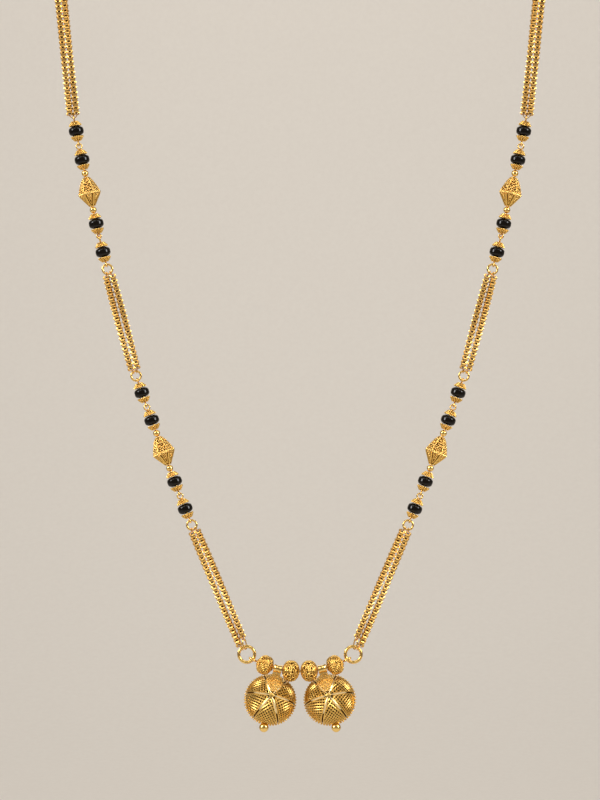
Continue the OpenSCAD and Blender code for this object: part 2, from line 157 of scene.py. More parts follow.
def round_section(diameter, corners):
    """Circle of the given diameter as a section, one for each value of diameter."""
    a = 2 * np.pi * (np.arange(corners) + 0.5) / corners
    return np.asarray(diameter, float)[..., None, None] / 2 * np.stack([np.cos(a), np.sin(a)], -1)


def circle(radius, centre, across, along, steps=48):
    """Closed path: centre + radius * (cos a * across + sin a * along)."""
    a = 2 * np.pi * np.arange(steps)[:, None] / steps
    return np.array(centre) + radius * (np.cos(a) * np.array(across) + np.sin(a) * np.array(along))


def add_piece(node, form, parts, body="necklace", sharp=65):
    """One mesh in metres from (shape, material) parts, named node_form, that stands for a node and rides on a body."""
    name = f"{node}_{form}"
    materials = list({material.name: material for shape, material in parts}.values())
    start, faces, finish = 0, [], []
    for (points, blocks), material in parts:
        faces += [block + start for block in blocks]
        finish += [np.full(len(block), materials.index(material)) for block in blocks]
        start += len(points)
    sizes = np.concatenate([np.full(len(block), block.shape[1]) for block in faces])
    corners = np.concatenate([block.ravel() for block in faces])
    mesh = bpy.data.meshes.new(name)
    mesh.vertices.add(start)
    mesh.vertices.foreach_set("co", np.concatenate([shape[0] for shape, material in parts]).ravel() / 1000)
    mesh.loops.add(len(corners))
    mesh.loops.foreach_set("vertex_index", corners.astype(np.int32))
    mesh.polygons.add(len(sizes))
    mesh.polygons.foreach_set("loop_start", (np.cumsum(sizes) - sizes).astype(np.int32))
    mesh.polygons.foreach_set("material_index", np.concatenate(finish).astype(np.int32))
    for material in materials:
        mesh.materials.append(material)
    mesh.update(calc_edges=True)
    mesh.shade_smooth()
    mesh.set_sharp_from_angle(angle=np.radians(sharp))
    piece = bpy.data.objects.new(name, mesh)
    bpy.context.scene.collection.objects.link(piece)
    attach(piece, body)
    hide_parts(node)


def on_side(shape, side):
    """The right-hand shape itself, or for the left its mirror image in x, with its faces turned round."""
    points, blocks = shape
    if side == "right":
        return shape
    return points * (-1, 1, 1), [block[:, ::-1] for block in blocks]


def add_pair(node, form, parts, sharp=65):
    """The right-hand piece on both sides, with left and right in place of {} in its node's name."""
    for side in ("left", "right"):
        side_parts = [(on_side(shape, side), finish) for shape, finish in parts]
        add_piece(node.format(side), form, side_parts, sharp=sharp)


hook_loop_r = 1.3
hook_wire_d = 0.8
# Half of the S: a circle round (loop radius, 0) that starts at the origin and runs for 290 degrees
loop_turn = np.radians(np.linspace(180, 470, 40))
half_s = hook_loop_r * xyz(1 + np.cos(loop_turn), 0, np.sin(loop_turn))
whole_s = np.concatenate([half_s[::-1], half_s[1:] * (-1, 1, -1)])
hook = carry(whole_s[None], (0, 1, 0), round_section(hook_wire_d, 12))
add_piece("nape_hook", "wire", [(hook, tumbled_wire)])
end_ring_x = 3.53
end_ring_r = 1.75
end_ring_wire_d = 0.6
end_ring_path = circle(end_ring_r, (end_ring_x, 0, 0), (1, 0, 0), (0, 1, 0))
end_ring = carry(end_ring_path[None], (0, 0, 1), round_section(end_ring_wire_d, 12), closed=True)
add_pair("end_ring_{}", "wire", [(end_ring, tumbled_wire)])

# The rings between chains and bead groups, and the two heavy pendant rings
# Closed rings of round gold wire. The pendant rings are of wire half as thick again, and carry the pendant's weight.
# Joint 0 is the pendant ring's centre, 1, 4 and 5 are the group rings', and 2, 3, 6 and 7 are pairs of hooked eyes.
pendant_ring_r, pendant_ring_wire_d = 1.825, 0.75
group_ring_r, group_ring_wire_d = 1.1, 0.5
black_bead_l = 2.2
cap_l = 1.15
ball_d = 1.6
bicone_l = 6.9
large_eye_r = 0.62
small_eye_r = 0.48
eye_to_tip = 0.2
# Two hooked eyes, from cap tip to cap tip
hooked_l = 2.12
# Play between pieces that follow each other on a pin, and between loose ones
seat_gap, loose_gap = 0.05, 0.12
ring_to_tip = group_ring_r + small_eye_r + eye_to_tip
capped_bead_l = 2 * cap_l + black_bead_l + 2 * seat_gap
long_middle_l = 2 * ball_d + bicone_l + 2 * seat_gap + 2 * loose_gap
ring_pin_l = ring_to_tip + capped_bead_l + hooked_l / 2
long_pin_l = hooked_l + 2 * capped_bead_l + long_middle_l
top_pin_l = hooked_l / 2 + capped_bead_l + eye_to_tip + small_eye_r
lean = np.radians([23, 22, 20.5, 19, 15, 14.5, 12.5, 10.5])
stretch = np.array([32.3, ring_pin_l, long_pin_l, ring_pin_l, 25.4, ring_pin_l, long_pin_l, top_pin_l])
ahead = xyz(np.sin(lean), 0, np.cos(lean))
outwards = xyz(np.cos(lean), 0, -np.sin(lean))
pendant_ring_box = np.array(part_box("pendant_ring_right")) * 1000
joint = pendant_ring_box.mean(0) + np.concatenate([[[0, 0, 0]], np.cumsum(stretch[:, None] * ahead, 0)])
ring_joints = (("pendant_ring_{}", 0), ("group_ring_{}_low", 1), ("group_ring_{}_mid", 4), ("group_ring_{}_high", 5))
for side in ("left", "right"):
    for node, i in ring_joints:
        ring_r, ring_wire_d = (group_ring_r, group_ring_wire_d) if i else (pendant_ring_r, pendant_ring_wire_d)
        ring_path = circle(ring_r, joint[i], (1, 0, 0), (0, 0, 1))
        ring = carry(ring_path[None], (0, 1, 0), round_section(ring_wire_d, 16), closed=True)
        add_piece(node.format(side), "wire", [(on_side(ring, side), tumbled_wire)])

# The box chains
# Two strands side by side in each stretch, of short square links bent from gold strip and soldered. Each link is
# turned a quarter from the last. A small wire link ties each end to a ring or an eye.
# Rolled strip with bright flats and softly rubbed edges, a little paler than the wire
chain_strip = gold_finish("22k_gold_chain_strip", "#F8CD78", "#DAA858", (0.2, 0.36), 0.3, 0.01)
# Insides and ground sheet: the same gold, left matt, in a dark colour that paints the shade between and under the
# wires
recess_gold = gold_finish("22k_gold_painted_shade_ground", "#7A4F1C", "#4E3210", (0.45, 0.65), 0.3, 0.02)
link_l = 0.83
link_w = 1.48
link_pitch = 0.59
# The strip is thin and narrow where a link goes through its neighbours, and thick and wide along its two sides
end_t, side_t = 0.12, 0.44
end_w, side_w = 0.5, 1.1
link_corner_r = 0.26
chain_core_d = 0.5
tie_wire_d = 0.24
# From a tie's centre line to the surface of the ring wire that it goes round
tie_off = 0.17
strip_section = np.array([(0.5, -0.4), (0.5, 0.4), (0, 0.5), (-0.5, 0.4), (-0.5, -0.4), (0, -0.5)])


def rounded_box(half_a, half_b, corner_r, steps):
    """Closed outline (n, 2) of a rectangle with round corners, steps points on each quarter circle."""
    a = np.radians(np.linspace(0, 90, steps))
    quarters = [
        np.stack([np.cos(a + q * np.pi / 2), np.sin(a + q * np.pi / 2)], -1) * corner_r
        + (np.array([(1, 1), (-1, 1), (-1, -1), (1, -1)])[q] * (half_a - corner_r, half_b - corner_r))
        for q in range(4)
    ]
    return np.concatenate(quarters)


def along(route, places):
    """Rows of a route, interpolated at distances along its first three columns."""
    steps = np.linalg.norm(np.diff(route[:, :3], axis=0), axis=1)
    distance = np.concatenate([[0], np.cumsum(steps)])
    return np.stack([np.interp(places, distance, column) for column in route.T], -1)


def box_links(route, roll, phase):
    """Links along a route of (point, across) rows, each a strip bent round a rounded rectangle.

    Link i lies in the plane of the tangent and flat, where flat turns by a quarter at each link, and also
    rolls to and fro by roll radians every 45 mm.
    """
    length = np.linalg.norm(np.diff(route[:, :3], axis=0), axis=1).sum()
    count = 2 * int((length - link_l) / (2 * link_pitch)) + 1
    places = np.linspace(link_l / 2, length - link_l / 2, count)
    centre = along(route, places)[:, :3]
    tangent = direction(along(route, places + 0.2)[:, :3] - along(route, places - 0.2)[:, :3])
    across = square_to(tangent, along(route, places)[:, 3:])
    turn = roll * np.sin(2 * np.pi * places / 45 + phase) + np.pi / 2 * (np.arange(count) % 2)
    flat = np.cos(turn)[:, None] * across + np.sin(turn)[:, None] * np.cross(tangent, across)
    half_w = (link_w - side_t) / 2
    outline = rounded_box((link_l - end_t) / 2, half_w, link_corner_r, 3)
    side_share = (np.abs(outline[:, 1:]) - half_w + link_corner_r) / link_corner_r
    section = strip_section * ((end_t, end_w) + side_share * (side_t - end_t, side_w - end_w))[:, None]
    paths = centre[:, None] + outline[:, :1] * tangent[:, None] + outline[:, 1:] * flat[:, None]
    return carry(paths, np.cross(tangent, flat)[:, None], section, closed=True)


def oval_link(start, stop, across, wire_d, half_w):
    """Wire link in the plane of start, stop and across, whose centre line reaches both points."""
    start, stop = np.asarray(start), np.asarray(stop)
    reach = stop - start
    half_l = np.linalg.norm(reach) / 2
    outline = rounded_box(half_l, half_w, min(half_l, half_w) * 0.999, 6)
    path = (start + stop) / 2 + outline[:, :1] * direction(reach) + outline[:, 1:] * np.array(across)
    return carry(path[None], np.cross(direction(reach), across), round_section(wire_d, 8), closed=True)


def tie(ring_centre, ring_r, ring_wire, strand_end, inward):
    """Wire link from inside a ring, round its wire, to the strand's end. inward points along the strand."""
    reach = direction(strand_end - ring_centre)
    start = ring_centre + reach * (ring_r - ring_wire / 2 - tie_off)
    return oval_link(start, strand_end + 0.3 * inward, (0, 1, 0), tie_wire_d, ring_wire / 2 + tie_off)


def chain_core(route):
    """Round core inside a strand's links, 0.4 mm short of both ends: a dark filler that paints the shade inside the
    chain.
    """
    length = np.linalg.norm(np.diff(route[:, :3], axis=0), axis=1).sum()
    rows = along(route, np.linspace(0.4, length - 0.4, int(length) + 2))
    return carry(rows[None, :, :3], rows[:, 3:], round_section(chain_core_d, 6))


strand_half_gap = 0.75
# From a ring's centre to where a strand starts or ends
group_ring_clear = 1.4
outer_start, inner_start = 2.25, 3.8
chain_parts = {}
for name, i, from_ring in (
    ("lower_chain", 0, (outer_start, inner_start)), ("middle_chain", 4, (group_ring_clear, group_ring_clear)),
):
    for strand, out, start_at in (("outer", 1, from_ring[0]), ("inner", -1, from_ring[1])):
        t = np.linspace(0, 1, 41)[:, None]
        height = start_at + t * (stretch[i] - group_ring_clear - start_at)
        # The pair bows apart by 0.1 mm on each side half way
        aside = out * (strand_half_gap + 0.1 * (1 - (2 * t - 1) ** 2))
        points = joint[i] + height * ahead[i] + aside * outwards[i]
        route = np.concatenate([points, np.broadcast_to(outwards[i], points.shape)], 1)
        parts = [box_links(route, 0.2, 1.3 * out + i), chain_core(route)]
        parts.append(tie(joint[i + 1], group_ring_r, group_ring_wire_d, points[-1], -ahead[i]))
        if name == "middle_chain":
            parts.append(tie(joint[i], group_ring_r, group_ring_wire_d, points[0], ahead[i]))
        elif strand == "outer":
            parts.append(tie(joint[i], pendant_ring_r, pendant_ring_wire_d, points[0], ahead[i]))
        chain_parts[name, strand] = parts

# The back strands leave the top eye, go over the shoulder and round the neck, and end at the end ring. Each row
# gives a point outwards as a share of the top eye's place, and forwards and down as shares of the two lengths below.
loop_depth = 110
front_drop = 86.3
back_shares = np.array([
    (1.03, 1.00, 0.84), (1.06, 1.00, 0.67), (1.10, 0.98, 0.52), (1.13, 0.94, 0.38), (1.17, 0.87, 0.26),
    (1.19, 0.77, 0.15), (1.17, 0.63, 0.06), (1.11, 0.49, 0.01), (1.00, 0.35, -0.01), (0.83, 0.22, -0.01),
    (0.60, 0.11, -0.01), (0.33, 0.03, 0.00),
])
back_points = np.concatenate([
    [joint[8] + 0.71 * ahead[7]], back_shares * (joint[8][0], -loop_depth, -front_drop), [(5.7, 0, 0)],
])


def smooth_route(points, steps):
    """Catmull-Rom curve through points: cubic pieces whose slope at a point is half the step past it."""
    ends = np.concatenate([[2 * points[0] - points[1]], points, [2 * points[-1] - points[-2]]])
    t = np.linspace(0, 1, steps, endpoint=False)[:, None]
    a, b, c, d = (ends[k:len(ends) - 3 + k, None] for k in range(4))
    curve = b + t * (c - a) / 2 + t ** 2 * (a - 2.5 * b + 2 * c - d / 2) + t ** 3 * (1.5 * (b - c) + (d - a) / 2)
    return np.concatenate([curve.reshape(-1, 3), points[-1:]])


back_centre = smooth_route(back_points, 12)
forward = -back_centre[:, 1:2] / loop_depth
# The pair lies side by side in front, and one above the other at the nape
pair_side = direction(np.concatenate([forward ** 2, 0 * forward, forward ** 2 - 1], 1))
back_tangent = direction(np.gradient(back_centre, axis=0))
pair_side = square_to(back_tangent, pair_side)
for strand, out in (("outer", 1), ("inner", -1)):
    points = back_centre + out * strand_half_gap * pair_side
    route = np.concatenate([points, pair_side], 1)
    parts = [box_links(route, 0.2, 2.1 * out), chain_core(route)]
    eye_top = joint[8] + 0.2 * ahead[7]
    reach = points[0] + 0.3 * back_tangent[0]
    facing = np.cross(direction(reach - eye_top), (0, 1, 0))
    parts.append(oval_link(eye_top, reach, facing, 0.22, 0.34))
    parts.append(oval_link((4.75, 0, out * 0.3), (6.0, 0, out * 0.72), (0, 0, 1), 0.24, 0.36))
    chain_parts["back_chain", strand] = parts
for (name, strand), (links, core, *ties) in chain_parts.items():
    # The cores are in the dark gold of painted shade, so the chains' insides look shaded
    chain = [(links, chain_strip), (core, recess_gold)] + [(link, tumbled_wire) for link in ties]
    add_pair(name + "_{}_" + strand, "links", chain, sharp=30)

# The joining links
# A small oval link of thin gold wire hangs in each pendant ring, and the inner strand of the lower chain hangs in it.
joining_l = 2.7
joining_wire_d = 0.3
link_low = 1.05
link_dir_a = lean[0] - np.arcsin(strand_half_gap / (link_low + joining_l))
link_dir = np.array([np.sin(link_dir_a), 0, np.cos(link_dir_a)])
link_square = np.array([np.cos(link_dir_a), 0, -np.sin(link_dir_a)])
# Turned 30 degrees away from edge-on, and wide enough for the pendant ring's wire
link_turn = np.radians(30)
link_across = np.sin(link_turn) * link_square + np.cos(link_turn) * np.array([0, -1, 0])
link_half_w = (pendant_ring_wire_d / np.cos(link_turn) + 0.2 + joining_wire_d) / 2
joining = oval_link(
    joint[0] + (link_low + joining_wire_d / 2) * link_dir,
    joint[0] + (link_low + joining_l - joining_wire_d / 2) * link_dir, link_across, joining_wire_d, link_half_w,
)
# A second, smaller link of the same wire goes on from its end through the strand's first box link
inner_end = joint[0] + inner_start * ahead[0] - strand_half_gap * outwards[0]
second = oval_link(
    joint[0] + (link_low + joining_l - 0.52) * link_dir, inner_end + 0.3 * ahead[0],
    np.cross(link_dir, link_across), 0.22, 0.3,
)
add_pair("joining_link_{}", "wire", [(joining, tumbled_wire), (second, tumbled_wire)])

# The eye pins of the bead groups
# Three pins to a group, of soft gold wire 0.32 mm thick, with an eye bent at each end. The eyes of neighbours hook
# into each other. Large eyes top the lower pins, and small eyes go round the rings.
pin_d = 0.32
eye_wire_d = 0.36


def place(shape, origin, turn, over=False):
    """Shape turned about Y by turn, from Z towards X, then moved to origin; with over, first turned upside down."""
    points, blocks = shape
    points = points * ((1, -1, -1) if over else (1, 1, 1))
    c, s = np.cos(turn), np.sin(turn)
    x, y, z = points.T
    return xyz(c * x + s * z, y, c * z - s * x) + origin, blocks


def on_stretch(shape, i, height, over=False):
    """Shape at a height up the stretch from joint i, leaning as it does."""
    return place(shape, joint[i] + height * ahead[i], lean[i], over)


def eye(radius, height, face_on):
    """Ring of eye wire round the pin's axis at a height, flat to the front or edge-on."""
    across, normal = ((1, 0, 0), (0, 1, 0)) if face_on else ((0, 1, 0), (1, 0, 0))
    path = circle(radius, (0, 0, height), across, (0, 0, 1), 28)
    return carry(path[None], normal, round_section(eye_wire_d, 10), closed=True)


def eye_pin(i, low, high, low_r, low_face_on, high_r, high_face_on):
    """Pin in joint i's frame between two eye centres at heights low and high."""
    stem = xyz(0, 0, np.linspace(low + low_r, high - high_r, 12))
    shapes = [
        carry(stem[None], (0, 1, 0), round_section(pin_d, 10)),
        eye(low_r, low, low_face_on), eye(high_r, high, high_face_on),
    ]
    return [on_stretch(shape, i, 0) for shape in shapes]


large_low = hooked_l / 2 - eye_to_tip - large_eye_r
small_low = hooked_l / 2 - eye_to_tip - small_eye_r
for name, j, turned in (("lower", 1, True), ("upper", 5, False)):
    pins = eye_pin(j, group_ring_r, ring_pin_l - large_low, small_eye_r, False, large_eye_r, turned)
    pins += eye_pin(j + 1, small_low, long_pin_l - large_low, small_eye_r, not turned, large_eye_r, True)
    top = ring_pin_l - group_ring_r if j == 1 else top_pin_l
    pins += eye_pin(j + 2, small_low, top, small_eye_r, False, small_eye_r, False)
    add_pair(name + "_{}_pins", "wire", [(pin, tumbled_wire) for pin in pins])

# The black beads
# Drums of black glass, wound or moulded with round shoulders, drilled along their axis and fire polished. Four to
# a group, each between two caps.
black_bead_d = 3.45
bead_bore_d = 0.52


def turned_shape(profile, steps, axis="z"):
    """Closed profile of (radius, height) rows, counterclockwise, carried round the z axis, or round x."""
    profile = np.asarray(profile, float)
    path = circle(1, np.zeros(3), (1, 0, 0), (0, 1, 0), steps)
    points, blocks = carry(path[None], (0, 0, 1), profile - (1, 0), closed=True)
    return (points if axis == "z" else points[:, [2, 0, 1]]), blocks


def bead_profile(r, half_l, bore_r, power, steps):
    """Superellipse outline |radius / r| ** power + |height / half_l| ** power = 1, closed down a straight bore."""
    a = np.linspace(-1, 1, steps)
    a = np.radians(90 * np.sign(a) * np.abs(a) ** 0.8)
    curve = np.stack([r * np.cos(a) ** (2 / power), half_l * np.sign(a) * np.abs(np.sin(a)) ** (2 / power)], -1)
    curve = curve[curve[:, 0] > bore_r + 0.02]
    return np.concatenate([[(bore_r, curve[0, 1])], curve, [(bore_r, curve[-1, 1])]])


# Glass of index 1.48, nearly opaque black with a trace of brown, glossy, with faint smears about 0.6 mm wide
black_glass, glass_surface, smears = mottled("fire_polished_black_glass", 1600.0, 2.0, "#050201", "#100902")
rub(glass_surface, smears, 0.04, 0.1)
glass_surface.inputs["IOR"].default_value = 1.48
glass_surface.inputs["Specular IOR Level"].default_value = 0.3

drum = turned_shape(bead_profile(black_bead_d / 2, black_bead_l / 2, bead_bore_d / 2, 2.9, 30), 48)
# Stretch and height of the lower tip of each capped bead in a group, from the lowest up
tips = (
    (0, ring_to_tip), (1, hooked_l / 2), (1, hooked_l / 2 + capped_bead_l + long_middle_l), (2, hooked_l / 2),
)
for name, j in (("lower", 1), ("upper", 5)):
    for k, (i, tip) in enumerate(tips):
        bead = on_stretch(drum, j + i, tip + capped_bead_l / 2)
        add_pair(name + "_{}_black_" + str(k + 1), "glass", [(bead, black_glass)])

# The caps
# Cones of thin gold sheet pressed over the beads' shoulders. Ten short wires fan out from the tip ring, each ending
# in a granule, with smaller granules between them. Granules and wires are fused on in the kiln.
cap_d = 2.8
flutes = 10
# Fused filigree: satin gold from the kiln, rubbed bright on its high spots, with kiln skin 0.25 mm wide
fused_wire = gold_finish("22k_gold_fused_filigree", "#FFD77C", "#E6B356", (0.24, 0.42), 0.25, 0.016)
# Ground stippled with a fine punch: tiny dents 0.3 mm apart scatter the light, so it stays bright from every side
stippled_gold = gold_finish("22k_gold_stippled", "#FFE29C", "#DFB668", (0.34, 0.5), 0.3, 0.06)
# Ground of caps and bicones, satin, in a darker gold that paints the shade between the wires, less dark than the cups'
# ground
satin_ground = gold_finish("22k_gold_satin_painted_shade_ground", "#A67631", "#7A5220", (0.4, 0.6), 0.25, 0.03)


def round_axis(r, a, z):
    """Points at radius r, angle a and height z round the z axis."""
    return xyz(r * np.cos(a), r * np.sin(a), z)


def grains(centres, diameters, corners=6):
    """Small balls: rings at 25, 65, 115 and 155 degrees from the pole, carried along x, closed by flat poles."""
    polar = np.radians([25, 65, 115, 155])
    diameters = np.broadcast_to(diameters, len(centres))[:, None]
    paths = np.asarray(centres)[:, None] - diameters[..., None] / 2 * np.cos(polar)[:, None] * np.array([1.0, 0, 0])
    return carry(paths, (0, 0, 1), round_section(diameters * np.sin(polar), corners))


flute_a = 2 * np.pi * np.arange(flutes)[:, None] / flutes
flute_r = np.linspace(0.42, 0.93, 7) * cap_d / 2
flute_z = cap_l * np.array([0.97, 0.9, 0.78, 0.64, 0.48, 0.33, 0.2])
flute_paths = round_axis(flute_r, flute_a, flute_z)
flute_up = round_axis(0.6, flute_a, 0.8)
grain_places = round_axis(1.27, flute_a[:, 0], 0.2)
between_places = np.concatenate([
    round_axis(r, flute_a[:, 0] + np.pi / flutes, z) for r, z in ((1.26, 0.17), (1.12, 0.43), (0.86, 0.68))
])
tip_ring = circle(0.42, (0, 0, cap_l - 0.14), (1, 0, 0), (0, 1, 0), 24)
cap_ground = [
    (0.26, 0.02), (1.2, 0.02), (1.3, 0.08), (1.2, 0.3), (0.56, 0.95), (0.4, cap_l - 0.02), (0.26, cap_l - 0.02),
]
# The cone's ground is in the darker gold of painted shade between the flutes
cap_shapes = [
    (turned_shape(cap_ground, 30), satin_ground),
    (carry(flute_paths, flute_up, round_section(np.linspace(0.22, 0.4, 7), 6)), fused_wire),
    (grains(grain_places, 0.44, 8), fused_wire),
    (grains(between_places, 0.34), tumbled_wire),
    (carry(tip_ring[None], (0, 0, 1), round_section(0.26, 8), closed=True), fused_wire),
]
parts = []
for j in (1, 5):
    for i, tip in tips:
        for height, over in ((tip + cap_l, True), (tip + cap_l + black_bead_l + 2 * seat_gap, False)):
            parts += [(on_stretch(shape, j + i, height, over), finish) for shape, finish in cap_shapes]
add_pair("caps_{}", "fluted", parts)

# The small balls above and below each bicone
# Hollow balls of thin gold, stamped in two halves, soldered and polished bright.
# Burnished gold: the smoothest finish on the necklace, close to a mirror
burnished = gold_finish("22k_gold_burnished", "#FFDC8A", "#F6C66C", (0.07, 0.16), 0.5, 0.002)
small_ball = turned_shape(bead_profile(ball_d / 2, ball_d / 2, bead_bore_d / 2, 2, 26), 36)
ball_up = bicone_l / 2 + seat_gap + ball_d / 2
balls = [
    (on_stretch(small_ball, i, long_pin_l / 2 + s * ball_up), burnished) for i in (2, 6) for s in (-1, 1)
]
add_pair("small_balls_{}", "polished", balls)

# The filigree bicones
# Six-sided hollow beads. The upper half swells and is covered with granules, up to fine wires along its corners.
# The lower half has a V of wires in each panel, over a ground painted darker as shade. A rope of two wires rounds the
# girdle.
bicone_r = 2.55
girdle_z = -0.45
girdle_half = 0.28
upper_l = bicone_l / 2 - girdle_z
lower_l = bicone_l / 2 + girdle_z
tip_r = 0.6
panel_wire_d = 0.24
# How far a step square to a panel's face goes outwards and along the bead
panel_out, panel_rise = 0.88, 0.48


def corner_r(z):
    """Corner radius of the bicone at height z from its girdle, from a few corners of its outline."""
    return np.interp(
        z, [-lower_l, -girdle_half, girdle_half, 1.55, 2.93, upper_l],
        [tip_r, bicone_r - 0.1, bicone_r - 0.1, 2.0, 1.34, tip_r],
    )


def on_panel(panel, x, z, lift):
    """Point on a panel: across it by x, at height z from the girdle, and lift above its face, square to its slope."""
    a = np.radians(60 * panel + 30)
    out = corner_r(z) * np.cos(np.pi / 6) + panel_out * lift
    z = z + panel_rise * lift * np.sign(z)
    return xyz(out * np.cos(a) - x * np.sin(a), out * np.sin(a) + x * np.cos(a), z)


upper_ground = turned_shape([
    (bead_bore_d / 2, 0), (bicone_r - 0.2, 0), (bicone_r - 0.3, girdle_half), (1.82, 1.55), (1.16, 2.93),
    (tip_r - 0.12, upper_l - 0.1), (bead_bore_d / 2, upper_l - 0.1),
], 6)
lower_ground = turned_shape([
    (bead_bore_d / 2, 0.1 - lower_l), (tip_r - 0.14, 0.1 - lower_l), (bicone_r - 0.42, -girdle_half),
    (bicone_r - 0.42, -0.02), (bead_bore_d / 2, -0.02),
], 6)
ridge_a = np.radians(60 * np.arange(6))[:, None]
ridge_up = round_axis(1, ridge_a, 0)
ridges = []
for ridge_d, ridge_z in (
    (0.2, np.linspace(girdle_half, upper_l - 0.05, 16)), (0.34, np.linspace(-girdle_half, 0.05 - lower_l, 12)),
):
    ridge_paths = round_axis(corner_r(ridge_z) - ridge_d / 4, ridge_a, ridge_z)
    ridges.append(carry(ridge_paths, ridge_up, round_section(ridge_d, 8)))
chance = np.random.default_rng(7)
granule_pitch = 0.43
wires, wire_ups, granule_places = [], [], []
for panel in range(6):
    for edge in (-1, 1):
        # One leg of the V goes down from the girdle's corner, and a second one beside it stays nearer the middle
        for start, foot in ((0.42, 0.0), (0.24, 0.16)):
            z = np.linspace(-0.33, 0.45 - lower_l, 22)
            x = edge * (corner_r(z) * start + foot * (z + 0.33) / (lower_l - 0.78))
            wires.append(on_panel(panel, x, z, -0.06))
            wire_ups.append(round_axis(panel_out, np.radians(60 * panel + 30), -panel_rise))
    # Granules in staggered rows up the panel, each a little out of line
    for n, z in enumerate(np.arange(0.42, upper_l - 0.3, granule_pitch * 0.87)):
        half = max(corner_r(z) / 2 - 0.2, 0.05)
        x = np.linspace(-half, half, max(round(2 * half / granule_pitch), 1) + n % 2 + 1)
        x = x + chance.uniform(-0.07, 0.07, len(x))
        granule_places.append(on_panel(panel, x, z + chance.uniform(-0.08, 0.08, len(x)), -0.03))
    # A few more fill the mouth of the V
    granule_places.append(on_panel(
        panel, np.array([-0.48, -0.16, 0.16, 0.48, -0.3, 0, 0.3, -0.14, 0.14, 0]),
        np.array([-0.5, -0.52, -0.5, -0.52, -0.82, -0.84, -0.82, -1.14, -1.14, -1.45]), -0.14,
    ))
granule_places = np.concatenate(granule_places)
# A hexagon's radius at angle a is its apothem over the cosine of the angle from the nearest side's middle. The two
# strands of the rope wind round that hexagon, half a turn apart.
rope_turns = 30
rope_a = np.radians(np.arange(720) * 0.5)
hexagon_r = (bicone_r - 0.14) * np.cos(np.pi / 6) / np.cos(rope_a % (np.pi / 3) - np.pi / 6)
rope = [
    round_axis(hexagon_r + 0.09 * np.cos(wind), rope_a, 0.16 * np.sin(wind))
    for wind in (rope_turns * rope_a, rope_turns * rope_a + np.pi)
]
tip_rings = [
    circle(tip_r - 0.1, (0, 0, z), (1, 0, 0), (0, 1, 0), 24) for z in (0.13 - lower_l, upper_l - 0.13)
]
# Both grounds are in the darker gold of painted shade between the wires
bicone_parts = [
    (upper_ground, satin_ground), (lower_ground, satin_ground), (ridges[0], fused_wire), (ridges[1], fused_wire),
    (carry(np.array(wires), np.array(wire_ups)[:, None], round_section(panel_wire_d, 6)), fused_wire),
    (grains(granule_places, chance.uniform(0.36, 0.46, len(granule_places))), tumbled_wire),
    (carry(np.array(rope), (0, 0, 1), round_section(0.3, 6), closed=True), tumbled_wire),
    (carry(np.array(tip_rings), (0, 0, 1), round_section(0.24, 8), closed=True), fused_wire),
]
for name, i in (("lower", 2), ("upper", 6)):
    parts = [(on_stretch(shape, i, long_pin_l / 2 + girdle_z), finish) for shape, finish in bicone_parts]
    add_pair(name + "_bicone_{}", "filigree", parts)

# The pendant wire
# Stiff gold wire 0.5 mm thick, bowed downwards, with an eye bent at each end, edge-on, round the pendant ring.
# The cups' own width and drop set how far apart their tubes hang on it.
bow_r = 22.5
bow_wire_d = 0.5
bail_l = 1.9
outer_bead_l = 4.0
dome_r = 5.9
cup_drop = 7.6
cup_out = dome_r + 0.22 + 0.75
bead_through_d = bow_wire_d + 0.2 + outer_bead_l ** 2 / (4 * bow_r)
bail_s = bow_r * np.arcsin(cup_out / (bow_r + cup_drop))
bow_gap = seat_gap + bead_through_d / 2 * (bail_l + outer_bead_l) / 2 / bow_r
wire_end_s = bail_s + bail_l / 2 + bow_gap + outer_bead_l + seat_gap
wire_end_a = wire_end_s / bow_r
wire_eye_r = 0.775
eye_out = wire_eye_r + bow_wire_d / 2
eye_place = np.array([
    bow_r * np.sin(wire_end_a) + eye_out * np.cos(wire_end_a),
    bow_r * (1 - np.cos(wire_end_a)) + eye_out * np.sin(wire_end_a),
])
ring_lean = np.radians(40)
ring_above = eye_place + pendant_ring_r * np.array([np.cos(ring_lean), np.sin(ring_lean)])
bow_low = joint[0] - np.array([ring_above[0], 0, ring_above[1]])
bow_a = np.linspace(-wire_end_a, wire_end_a, 60)
bow_path = bow_low + bow_r * xyz(np.sin(bow_a), 0, 1 - np.cos(bow_a))
wire_parts = [(carry(bow_path[None], (0, 1, 0), round_section(bow_wire_d, 12)), tumbled_wire)]
eye_centre = bow_low + np.array([eye_place[0], 0, eye_place[1]])
end_dir = np.array([np.cos(wire_end_a), 0, np.sin(wire_end_a)])
eye_up = np.array([-np.sin(wire_end_a), 0, np.cos(wire_end_a)])
eye_path = circle(wire_eye_r, eye_centre, end_dir, (0, 1, 0), 36)
# A hair thicker than the bow, so that no two surfaces coincide where they join
wire_eye = carry(eye_path[None], eye_up, round_section(bow_wire_d + 0.02, 12), closed=True)
wire_parts += [(on_side(wire_eye, side), tumbled_wire) for side in ("left", "right")]
add_piece("pendant_wire", "bowed", wire_parts)


def on_wire(shape, s):
    """Shape from the wire's local frame, with x along the wire and z away from its inside, at arc length s."""
    a = s / bow_r
    return place(shape, bow_low + bow_r * np.array([np.sin(a), 0, 1 - np.cos(a)]), -a)


# The round outer beads
# A hollow core wrapped with fine gold wire in six coils, which meet each other like the windings of a ball of yarn.
outer_bead_d = 4.75
wrap_wire_d = 0.33
wrap_pitch = 0.54


